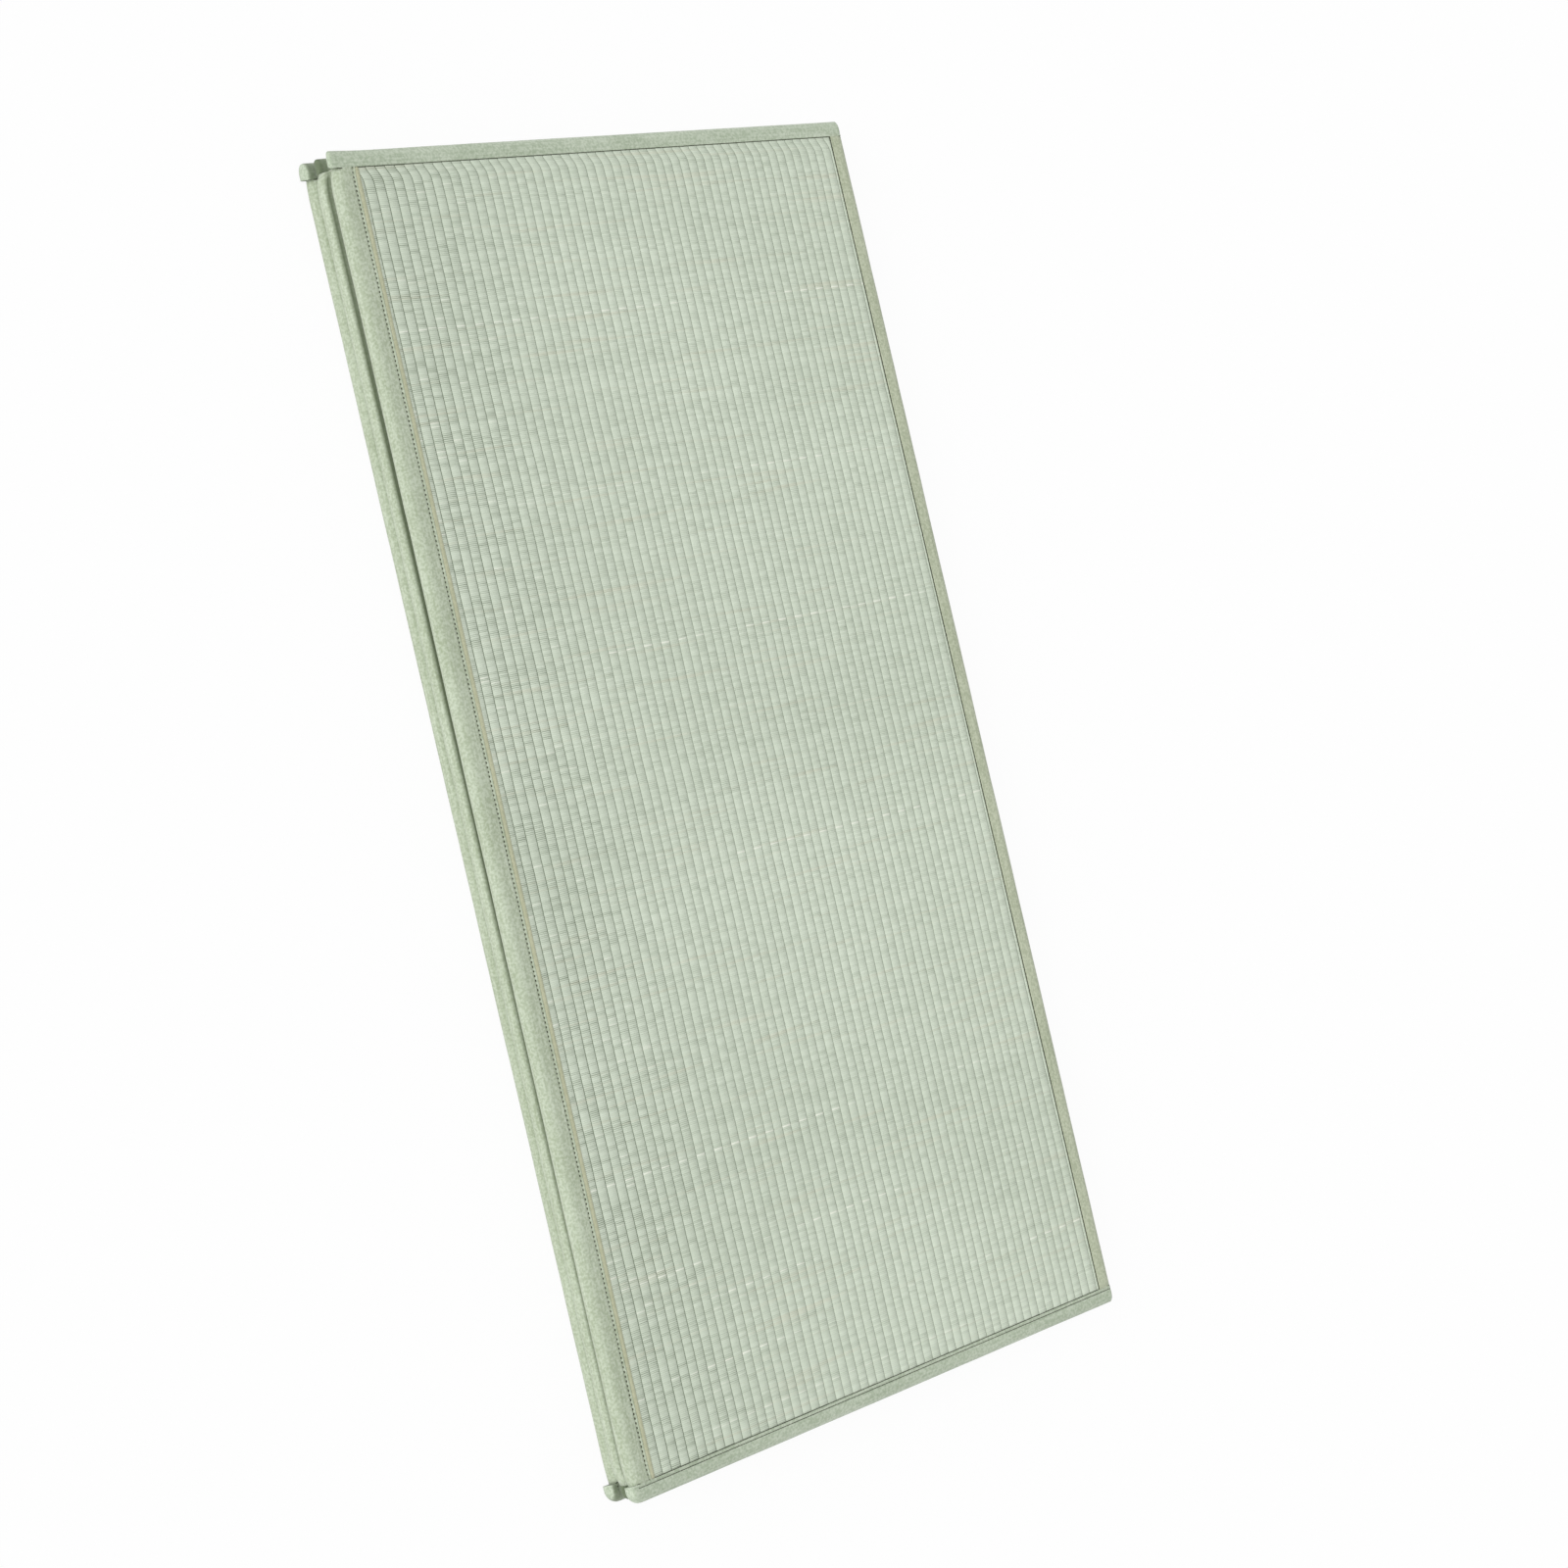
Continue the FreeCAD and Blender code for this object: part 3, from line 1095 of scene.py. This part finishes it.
def sewing_tree():
    kinds = {
        "Geometry": "NodeSocketGeometry",
        "Pitch": "NodeSocketFloat",
        "Stitch length": "NodeSocketFloat",
        "Breadth": "NodeSocketFloat",
        "Thread": "NodeSocketFloat",
        "Stitch": "NodeSocketObject",
        "Finish": "NodeSocketMaterial",
    }
    tree, given = new_tree("sewing", kinds)
    line = add_node(tree, "GeometryNodeMeshToCurve", None, {"Mesh": given["Geometry"]})
    inputs = {"Curve": line, "Length": given["Pitch"]}
    spaced = add_node(tree, "GeometryNodeResampleCurve", {"mode": "LENGTH"}, inputs)
    tangent = add_node(tree, "GeometryNodeInputTangent")
    turn = add_node(tree, "FunctionNodeAlignRotationToVector", {"axis": "X"}, {"Vector": tangent})
    size = vector(tree, given["Stitch length"], given["Breadth"], given["Thread"])
    shape = shape_of(tree, given["Stitch"])
    inputs = {"Points": spaced, "Instance": shape, "Scale": size, "Rotation": turn}
    placed = add_node(tree, "GeometryNodeInstanceOnPoints", None, inputs)
    end_real(tree, placed, given["Finish"])
    return tree


# %% Sew every seam, and draw the painted shadow lines in thread
STITCH_PITCH = 4.8 * MM
STITCH_LONG = 2.8 * MM
# Stitches of the painted shadow lines along the tapes' inner edges, and of the foot seams
SHADOW_AND_SEAM_PITCH = 2.0 * MM
SHADOW_AND_SEAM_LONG = 2.6 * MM
THREAD_THICK = 0.7 * MM
PATH_STEP = 10 * MM


def seam_line(axis, fixed, low, high, h):
    """Points along one seam of a panel, in x, y and h. The fixed place may vary along it."""
    s = np.linspace(low, high, round((high - low) / PATH_STEP))
    fixed = fixed(s) if callable(fixed) else np.full(len(s), fixed)
    h = np.full(len(s), h)
    return np.stack([s, fixed, h] if axis == "x" else [fixed, s, h], axis=1)


def beside_edge(panel, side, inset):
    """A function from y to x, that far in from a long edge."""
    edge = panel.left if side < 0 else panel.right
    return lambda y: edge - side * (inset + set_back(panel, side, y))


def panel_seams(panel):
    """The seams and painted shadow lines of one panel: stitches beside the folds, a shadow line along
    the free side, and along the end tapes a shadow line at each tape's edge and the foot's seam."""
    dashes, shadow_lines, end_seams_and_shadow_lines = [], [], []
    for end in ("head", "foot"):
        way = -1 if end == "head" else 1
        edge = panel.head if end == "head" else panel.foot
        low = panel.left - END_REACH[panel.number, end] + 8 * MM
        # First a painted shadow line where the tape's inner edge meets the rush, then the seam
        # itself, sewn only at the foot
        insets = (END_WIDTH[end] + 0.3 * MM, END_SEAM[end])
        for inset, h in zip(insets, (panel.thick - 0.8 * MM, panel.thick - 0.35 * MM)):
            if end == "foot" or inset != END_SEAM[end]:
                end_seams_and_shadow_lines.append(seam_line("x", edge + way * inset, low, panel.right - 6 * MM, h))
    foot_y = panel.foot + END_WIDTH["foot"] + 1 * MM
    head_y = panel.head - END_WIDTH["head"] - 1 * MM
    for side in (-1, 1):
        if (panel.number, side) in FREE_SIDES:
            # Along a free side, a dark painted shadow line beside the tape's inner edge, drawn as
            # thread
            place, h = beside_edge(panel, side, FREE_WIDTH + 0.7 * MM), panel.thick - 0.65 * MM
            shadow_lines.append(seam_line("y", place, foot_y, head_y, h))
        else:
            place, h = beside_edge(panel, side, FOLD_SEAM), panel.thick - 0.55 * MM
            dashes.append(seam_line("y", place, foot_y, head_y, h))
    return dashes, shadow_lines, end_seams_and_shadow_lines


def sew(name, panel, lines, values):
    """Sews along lines given in x, y and h, and lays the stitches on the panel."""
    points, edges = [], []
    for line in lines:
        start = len(points)
        points += [tuple(p) for p in line]
        edges += [(start + i, start + i + 1) for i in range(len(line) - 1)]
    path = bpy.data.meshes.new("seam paths")
    path.from_pydata(points, edges, [])
    threads = grown(name, sewing, values, path)
    move_points(threads.data, panel.place(points_of(threads.data)))
    if not panel.rush_up:
        threads.data.flip_normals()
    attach(threads, panel.body)
    print(name, len(threads.data.polygons), "faces")
    return threads


sewing = sewing_tree()
stitch = stitch_shape()
shared = {"Stitch": stitch, "Finish": finishes["thread"], "Thread": THREAD_THICK}
dashed = {**shared, "Pitch": STITCH_PITCH, "Stitch length": STITCH_LONG, "Breadth": 1.5 * MM}
shadow_line_look = {**shared, "Pitch": SHADOW_AND_SEAM_PITCH, "Stitch length": SHADOW_AND_SEAM_LONG, "Breadth": 1.4 * MM}
end_seam_and_shadow_look = {**shadow_line_look, "Breadth": 0.9 * MM}
for panel in panels.values():
    dashes, shadow_lines, end_seams_and_shadow_lines = panel_seams(panel)
    made = sew(f"fold_stitches_{panel.number}", panel, dashes, dashed)
    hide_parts(panel.node("seam_thread"))
    if shadow_lines:
        sew(f"side_cord_{panel.number}", panel, shadow_lines, shadow_line_look)
    sew(f"end_cords_{panel.number}", panel, end_seams_and_shadow_lines, end_seam_and_shadow_look)
bpy.data.objects.remove(stitch)

# %% [markdown]
# ## Floor, light and camera
# The mattress lies on a white floor. Seen straight by the camera the floor is mostly plain white,
# with a share of real shading left in it, so a soft shadow stays. A pale sky lights everything
# evenly and one broad lamp on the fold side draws out the rolled edges.

# %% Floor
FLOOR_SIZE = 30.0
SHADE_SHARE = 0.07


def floor_finish():
    finish = Finish("floor")
    rays = finish.place.node("ShaderNodeLightPath")
    camera = Field(finish.tree, rays.socket.node.outputs["Is Camera Ray"])
    glossy = Field(finish.tree, rays.socket.node.outputs["Is Glossy Ray"])
    clear = Field(finish.tree, rays.socket.node.outputs["Is Transmission Ray"])
    paint = finish.place.node("ShaderNodeBsdfDiffuse", None, {"Color": (0.9, 0.9, 0.9, 1)})
    white = finish.place.node("ShaderNodeEmission", None, {"Color": (1, 1, 1, 1), "Strength": 1.0})
    share = (camera + glossy + clear) * (1 - SHADE_SHARE)
    both = finish.place.node("ShaderNodeMixShader", None, {0: share, 1: paint, 2: white})
    finish.place.node("ShaderNodeOutputMaterial", None, {"Surface": both})
    return finish.material


half_floor = FLOOR_SIZE / 2
floor_mesh = bpy.data.meshes.new("floor")
corners = [(x * half_floor, y * half_floor, 0) for x, y in ((-1, -1), (1, -1), (1, 1), (-1, 1))]
floor_mesh.from_pydata(corners, [], [(0, 1, 2, 3)])
floor_mesh.materials.append(floor_finish())
floor = in_scene("floor", floor_mesh)
print("floor", FLOOR_SIZE, "m square")

# %% Sky and lamp
SKY_STRENGTH = 0.7
LAMP_STRENGTH = 1.75
LAMP_ANGLE = 45
LAMP_FROM = Vector((-0.86, 0.12, 0.5))

world = bpy.data.worlds.new("sky")
bpy.context.scene.world = world
world.use_nodes = True
world.node_tree.nodes.clear()
rays = add_node(world.node_tree, "ShaderNodeLightPath")
seen_straight = Field(world.node_tree, rays.socket.node.outputs["Is Camera Ray"])
strength = seen_straight * (1 - SKY_STRENGTH) + SKY_STRENGTH
sky_inputs = {"Color": (1, 1, 1, 1), "Strength": strength}
sky = add_node(world.node_tree, "ShaderNodeBackground", None, sky_inputs)
add_node(world.node_tree, "ShaderNodeOutputWorld", None, {"Surface": sky})

lamp = bpy.data.lights.new("broad lamp", "SUN")
lamp.energy = LAMP_STRENGTH
lamp.angle = math.radians(LAMP_ANGLE)
lamp_object = in_scene("broad lamp", lamp)
lamp_object.rotation_euler = LAMP_FROM.to_track_quat("Z", "Y").to_euler()
bpy.context.scene.view_settings.view_transform = "Standard"

# %% [markdown]
# The camera looks down on the stack from the fold side, with a long lens, and is turned so that
# the mattress seems to stand up. Its own axes are built from two directions: where it looks, and
# which way is up in the picture.

# %% Camera
CAMERA_AT = Vector((-2.0174, 0.0122, 2.5983))
CAMERA_LOOKS = Vector((0.63534, 0.01705, -0.77205))
PICTURE_UP = Vector((0.16475, 0.97375, 0.15707))
SENSOR_WIDE = 36.0
LENS = 68.96
SHIFT_UP = -0.06

camera = bpy.data.cameras.new("camera")
camera.sensor_width = SENSOR_WIDE
camera.lens = LENS
camera.shift_y = SHIFT_UP
back = -CAMERA_LOOKS.normalized()
right = PICTURE_UP.cross(back).normalized()
up = back.cross(right)
turned = Matrix((right, up, back)).transposed().to_4x4()
camera_object = in_scene("camera", camera)
camera_object.matrix_world = Matrix.Translation(CAMERA_AT) @ turned
bpy.context.scene.camera = camera_object
print("camera", tuple(round(v, 3) for v in CAMERA_AT), "lens", LENS)
